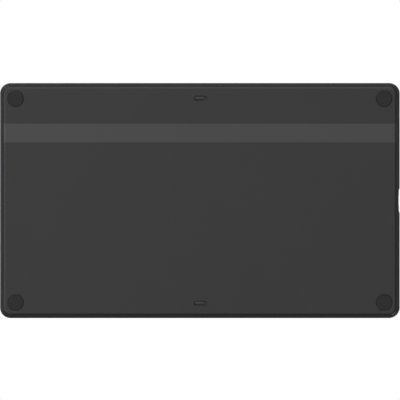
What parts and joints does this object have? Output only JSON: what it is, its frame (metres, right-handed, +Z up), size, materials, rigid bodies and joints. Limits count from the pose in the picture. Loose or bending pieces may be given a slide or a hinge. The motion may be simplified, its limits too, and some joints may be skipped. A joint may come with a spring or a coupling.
{
  "type": "graphics tablet",
  "caption": "Slim pen tablet with a flat drawing sheet, a strip of press keys, a turning dial with a press button, a screwed back cover on round rubber feet, and a socket in its left edge.",
  "frame": {"origin": "on the plane that the feet stand on, below the middle of the case outline", "axes": "+X to the user's right, +Y away from the user, +Z up out of the drawing sheet"},
  "size_m": [0.32, 0.1882, 0.0115],
  "materials": {
    "shell_plastic": "fine spark-eroded grain, dark grey",
    "cover_plastic": "fine spark-eroded grain, dark grey",
    "smooth_plastic": "smooth satin, paler and glossier than the cover",
    "sheet_film": "finely toothed matt film",
    "foot_rubber": "matt moulded rubber",
    "key_plastic": "satin moulded plastic",
    "dial_plastic": "satin moulded plastic, fluted rim",
    "trim_metal": "spun, dark anodised",
    "screw_steel": "plated",
    "insert_brass": "knurled brass",
    "contact_brass": "gold plated",
    "socket_metal": "drawn, nickel plated",
    "shield_metal": "rolled sheet",
    "board": "solder mask over glass laminate",
    "ribbon": "amber film",
    "glue": "transfer adhesive",
    "socket_plastic": "moulded, black",
    "chip_plastic": "moulded, black",
    "switch_plastic": "moulded, black",
    "plunger_plastic": "moulded, natural",
    "lamp": "milky",
    "clear_plastic": "polished, clear"
  },
  "bodies": {
    "case": {"front_shell": "shell_plastic", "drawing_sheet": "sheet_film", "back_cover": "cover_plastic", "back_band": "smooth_plastic", "case_screws": "screw_steel", "screw_inserts": "insert_brass", "sensor_glue": "glue", "sensor_board": "board", "shield_plate": "shield_metal", "ribbon_sockets": "socket_plastic", "sensor_ribbon": "ribbon", "control_board": "board", "board_screws": "screw_steel", "usb_shell": "socket_metal", "usb_tongue": "socket_plastic", "usb_contacts": "contact_brass", "controller_chip": "chip_plastic", "amplifier_chips": "chip_plastic", "clock_crystal": "socket_metal", "small_parts": "chip_plastic", "status_led": "lamp", "light_pipe": "clear_plastic", "dial_post": "socket_plastic", "dial_clip": "screw_steel", "dial_button_switch": "switch_plastic", "encoder_sensor": "chip_plastic", "detent_spring": "screw_steel", "foot_rear_left": "foot_rubber", "foot_rear_right": "foot_rubber", "foot_front_left": "foot_rubber", "foot_front_right": "foot_rubber", "key_switch_1": "switch_plastic", "key_switch_2": "switch_plastic", "key_switch_3": "switch_plastic", "key_switch_4": "switch_plastic", "key_switch_5": "switch_plastic", "key_switch_6": "switch_plastic", "key_switch_7": "switch_plastic", "key_switch_8": "switch_plastic"},
    "key_1": {"key_1": "key_plastic", "key_plunger_1": "plunger_plastic"},
    "key_2": {"key_2": "key_plastic", "key_plunger_2": "plunger_plastic"},
    "key_3": {"key_3": "key_plastic", "key_plunger_3": "plunger_plastic"},
    "key_4": {"key_4": "key_plastic", "key_plunger_4": "plunger_plastic"},
    "key_5": {"key_5": "key_plastic", "key_plunger_5": "plunger_plastic"},
    "key_6": {"key_6": "key_plastic", "key_plunger_6": "plunger_plastic"},
    "key_7": {"key_7": "key_plastic", "key_plunger_7": "plunger_plastic"},
    "key_8": {"key_8": "key_plastic", "key_plunger_8": "plunger_plastic"},
    "dial": {"dial_ring": "dial_plastic", "dial_trim": "trim_metal", "code_wheel": "trim_metal"},
    "dial_button": {"dial_button": "key_plastic", "dial_button_plunger": "plunger_plastic"}
  },
  "joints": [
    {"name": "key_1_press", "type": "slide", "parent": "case", "child": "key_1", "axis": [0, 0, -1], "range_m": [0, 0.00045], "stiffness_N_per_m": 2500},
    {"name": "key_2_press", "type": "slide", "parent": "case", "child": "key_2", "axis": [0, 0, -1], "range_m": [0, 0.00045], "stiffness_N_per_m": 2500},
    {"name": "key_3_press", "type": "slide", "parent": "case", "child": "key_3", "axis": [0, 0, -1], "range_m": [0, 0.00045], "stiffness_N_per_m": 2500},
    {"name": "key_4_press", "type": "slide", "parent": "case", "child": "key_4", "axis": [0, 0, -1], "range_m": [0, 0.00045], "stiffness_N_per_m": 2500},
    {"name": "key_5_press", "type": "slide", "parent": "case", "child": "key_5", "axis": [0, 0, -1], "range_m": [0, 0.00045], "stiffness_N_per_m": 2500},
    {"name": "key_6_press", "type": "slide", "parent": "case", "child": "key_6", "axis": [0, 0, -1], "range_m": [0, 0.00045], "stiffness_N_per_m": 2500},
    {"name": "key_7_press", "type": "slide", "parent": "case", "child": "key_7", "axis": [0, 0, -1], "range_m": [0, 0.00045], "stiffness_N_per_m": 2500},
    {"name": "key_8_press", "type": "slide", "parent": "case", "child": "key_8", "axis": [0, 0, -1], "range_m": [0, 0.00045], "stiffness_N_per_m": 2500},
    {"name": "dial_turn", "type": "hinge", "parent": "case", "child": "dial", "pos_m": [-0.1345, 0, 0.01], "axis": [0, 0, 1], "continuous": true},
    {"name": "dial_button_press", "type": "slide", "parent": "case", "child": "dial_button", "axis": [0, 0, -1], "range_m": [0, 0.00045], "stiffness_N_per_m": 2500}
  ]
}
